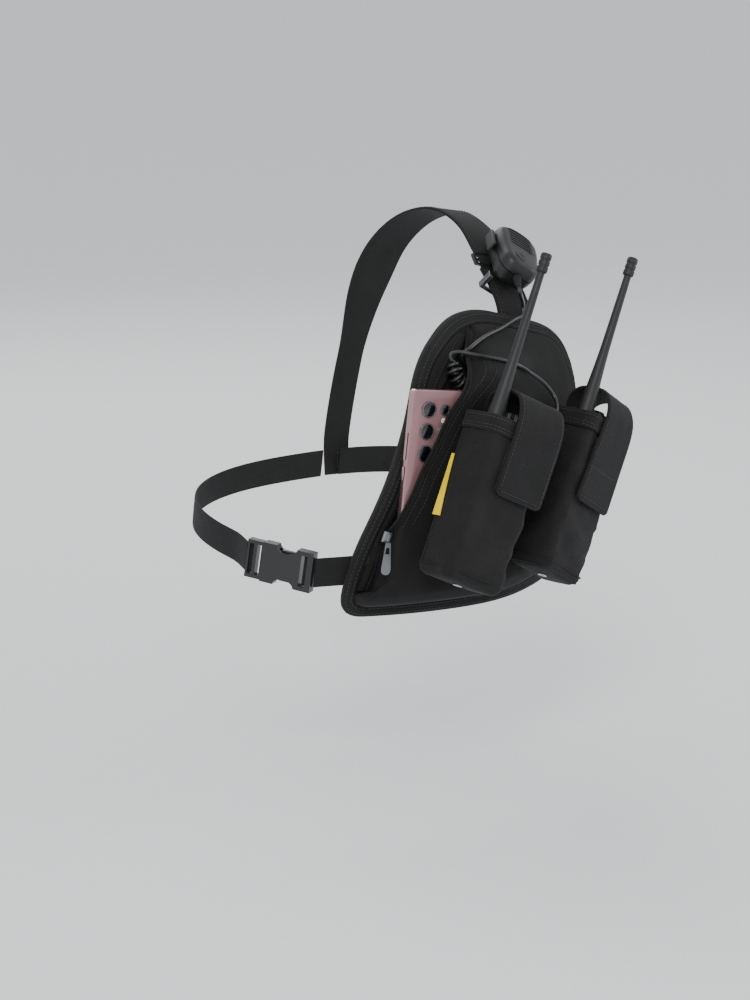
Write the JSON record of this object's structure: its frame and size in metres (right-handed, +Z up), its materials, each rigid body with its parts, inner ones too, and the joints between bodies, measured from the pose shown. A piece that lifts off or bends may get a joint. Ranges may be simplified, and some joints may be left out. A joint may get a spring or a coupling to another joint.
{
  "type": "radio chest harness",
  "caption": "One-shoulder chest harness with slanted flapped pouches for handheld radios, a side zip pocket holding a phone, a clipped speaker microphone and a quick-release chest belt.",
  "frame": {"origin": "on the wearer's torso axis, level with the point where the chest belt leaves the panel's lower left edge", "axes": "+Z up, -Y the way the wearer faces, +X the wearer's left"},
  "size_m": [0.3382, 0.3252, 0.3148],
  "materials": {
    "nylon": "coated woven nylon, dull black",
    "binding": "ribbed binding tape and loop pile",
    "webbing": "woven nylon webbing and zip tape",
    "plastic": "moulded black plastic with a satin surface",
    "rubber": "smooth black rubber and cord jacket",
    "steel": "plated steel",
    "dark_metal": "gunmetal zip fittings",
    "rose_metal": "satin rose phone back with a brighter frame",
    "glass": "black glass",
    "tag": "yellow woven label with no writing"
  },
  "bodies": {
    "harness": {"back_panel": "nylon", "edge_binding": "binding", "zip_side_strip": "nylon", "pocket_front": "nylon", "zip_half_right": "webbing", "zip_half_left": "webbing", "side_tag": "tag", "shoulder_yoke": "nylon", "strap_adjuster": "plastic", "shoulder_strap": "webbing", "belt_short": "webbing", "belt_side": "webbing", "belt_rear": "webbing", "buckle_socket": "plastic", "mic_front_shell": "plastic", "mic_rear_shell": "plastic", "mic_cord_boot": "rubber", "cord_mic_lead": "rubber", "cord_curl": "rubber", "cord_radio_lead": "rubber", "left_pouch": "nylon", "left_pouch_hem": "nylon", "left_loop_patch": "binding", "left_drain_eyelet": "steel", "right_pouch": "nylon", "right_pouch_hem": "nylon", "right_loop_patch": "binding", "right_drain_eyelet": "steel"},
    "left_flap": {"left_flap": "nylon"},
    "left_radio": {"left_radio_case": "plastic", "left_radio_battery": "plastic", "left_radio_antenna": "rubber", "cord_radio_plug": "rubber"},
    "left_channel_knob": {"left_radio_channel_knob": "plastic"},
    "left_volume_knob": {"left_radio_volume_knob": "plastic"},
    "left_ptt_key": {"left_radio_ptt_key": "rubber"},
    "right_flap": {"right_flap": "nylon"},
    "right_radio": {"right_radio_case": "plastic", "right_radio_battery": "plastic", "right_radio_antenna": "rubber"},
    "right_channel_knob": {"right_radio_channel_knob": "plastic"},
    "right_volume_knob": {"right_radio_volume_knob": "plastic"},
    "right_ptt_key": {"right_radio_ptt_key": "rubber"},
    "slider": {"zip_slider": "dark_metal"},
    "pull": {"zip_pull": "dark_metal"},
    "phone": {"phone_body": "rose_metal", "phone_screen": "glass", "phone_lens_1": "glass", "phone_lens_2": "glass", "phone_lens_3": "glass", "phone_lens_4": "glass", "phone_lens_5": "glass"},
    "phone_volume_key": {"phone_volume_key": "rose_metal"},
    "phone_power_key": {"phone_power_key": "rose_metal"},
    "mic_button": {"mic_ptt_button": "rubber"},
    "mic_spring_clip": {"mic_clip": "steel"},
    "buckle_plug": {"buckle_plug": "plastic"},
    "upper_prong": {"release_prong_upper": "plastic"},
    "lower_prong": {"release_prong_lower": "plastic"}
  },
  "joints": [
    {"name": "left_flap_fold", "type": "hinge", "parent": "harness", "child": "left_flap", "pos_m": [-0.00024, -0.14996, 0.13167], "axis": [-0.9057, 0.0383, 0.4223], "range_deg": [0, 45]},
    {"name": "left_radio_lift", "type": "slide", "parent": "harness", "child": "left_radio", "axis": [0.4234, 0.0284, 0.9055], "range_m": [0, 0.008], "deforming": ["cord_radio_lead"]},
    {"name": "left_channel_turn", "type": "hinge", "parent": "left_radio", "child": "left_channel_knob", "pos_m": [-0.00968, -0.17404, 0.12072], "axis": [0.4234, 0.0284, 0.9055], "continuous": true},
    {"name": "left_volume_turn", "type": "hinge", "parent": "left_radio", "child": "left_volume_knob", "pos_m": [0.00355, -0.1746, 0.11455], "axis": [0.4234, 0.0284, 0.9055], "range_deg": [0, 270]},
    {"name": "left_ptt_press", "type": "slide", "parent": "left_radio", "child": "left_ptt_key", "axis": [0.9057, -0.0383, -0.4223], "range_m": [0, 0.001], "stiffness_N_per_m": 600, "springref_m": -0.0005},
    {"name": "right_flap_fold", "type": "hinge", "parent": "harness", "child": "right_flap", "pos_m": [0.10345, -0.1329, 0.12036], "axis": [-0.8548, -0.2411, 0.4597], "range_deg": [0, 12]},
    {"name": "right_radio_lift", "type": "slide", "parent": "harness", "child": "right_radio", "axis": [0.4566, 0.0716, 0.8868], "range_m": [0, 0.008]},
    {"name": "right_channel_turn", "type": "hinge", "parent": "right_radio", "child": "right_channel_knob", "pos_m": [0.10009, -0.15771, 0.10763], "axis": [0.4566, 0.0716, 0.8868], "continuous": true},
    {"name": "right_volume_turn", "type": "hinge", "parent": "right_radio", "child": "right_volume_knob", "pos_m": [0.11257, -0.15419, 0.10092], "axis": [0.4566, 0.0716, 0.8868], "range_deg": [0, 270]},
    {"name": "right_ptt_press", "type": "slide", "parent": "right_radio", "child": "right_ptt_key", "axis": [0.8548, 0.2411, -0.4597], "range_m": [0, 0.001], "stiffness_N_per_m": 600, "springref_m": -0.0005},
    {"name": "zip_slide", "type": "slide", "parent": "harness", "child": "slider", "axis": [-0.1999, 0.2219, -0.9544], "range_m": [0, 0.016]},
    {"name": "pull_swing", "type": "hinge", "parent": "slider", "child": "pull", "pos_m": [-0.10097, -0.13007, 0.02757], "axis": [-0.9511, 0.2756, 0.1397], "range_deg": [0, 100]},
    {"name": "phone_lift", "type": "slide", "parent": "harness", "child": "phone", "axis": [0.1118, -0.0177, 0.9936], "range_m": [0, 0.001]},
    {"name": "volume_key_press", "type": "slide", "parent": "phone", "child": "phone_volume_key", "axis": [0.9813, -0.1554, -0.1132], "range_m": [0, 0.0003], "stiffness_N_per_m": 900, "springref_m": -0.0003},
    {"name": "power_key_press", "type": "slide", "parent": "phone", "child": "phone_power_key", "axis": [0.9813, -0.1554, -0.1132], "range_m": [0, 0.0003], "stiffness_N_per_m": 900, "springref_m": -0.0003},
    {"name": "mic_ptt_press", "type": "slide", "parent": "harness", "child": "mic_button", "axis": [0.7979, -0.2823, -0.5326], "range_m": [0, 0.0005], "stiffness_N_per_m": 900, "springref_m": -0.0003},
    {"name": "mic_clip_open", "type": "hinge", "parent": "harness", "child": "mic_spring_clip", "pos_m": [0.05773, -0.07429, 0.2229], "axis": [0.5345, 0.7398, 0.4087], "range_deg": [0, 12], "stiffness_Nm_per_rad": 0.4, "springref_deg": -2.86},
    {"name": "buckle_release", "type": "slide", "parent": "harness", "child": "buckle_plug", "axis": [-0.4691, 0.8713, 0.1444], "range_m": [0, 0.03], "deforming": ["belt_side"]},
    {"name": "upper_prong_press", "type": "hinge", "parent": "buckle_plug", "child": "upper_prong", "pos_m": [-0.1614, -0.04961, 0.01652], "axis": [0.8805, 0.4741, 0], "range_deg": [0, 5], "stiffness_Nm_per_rad": 0.15, "springref_deg": -1.72},
    {"name": "lower_prong_press", "type": "hinge", "parent": "buckle_plug", "child": "lower_prong", "pos_m": [-0.16266, -0.04727, -0.00168], "axis": [-0.8805, -0.4741, 0], "range_deg": [0, 5], "stiffness_Nm_per_rad": 0.15, "springref_deg": -1.72}
  ]
}
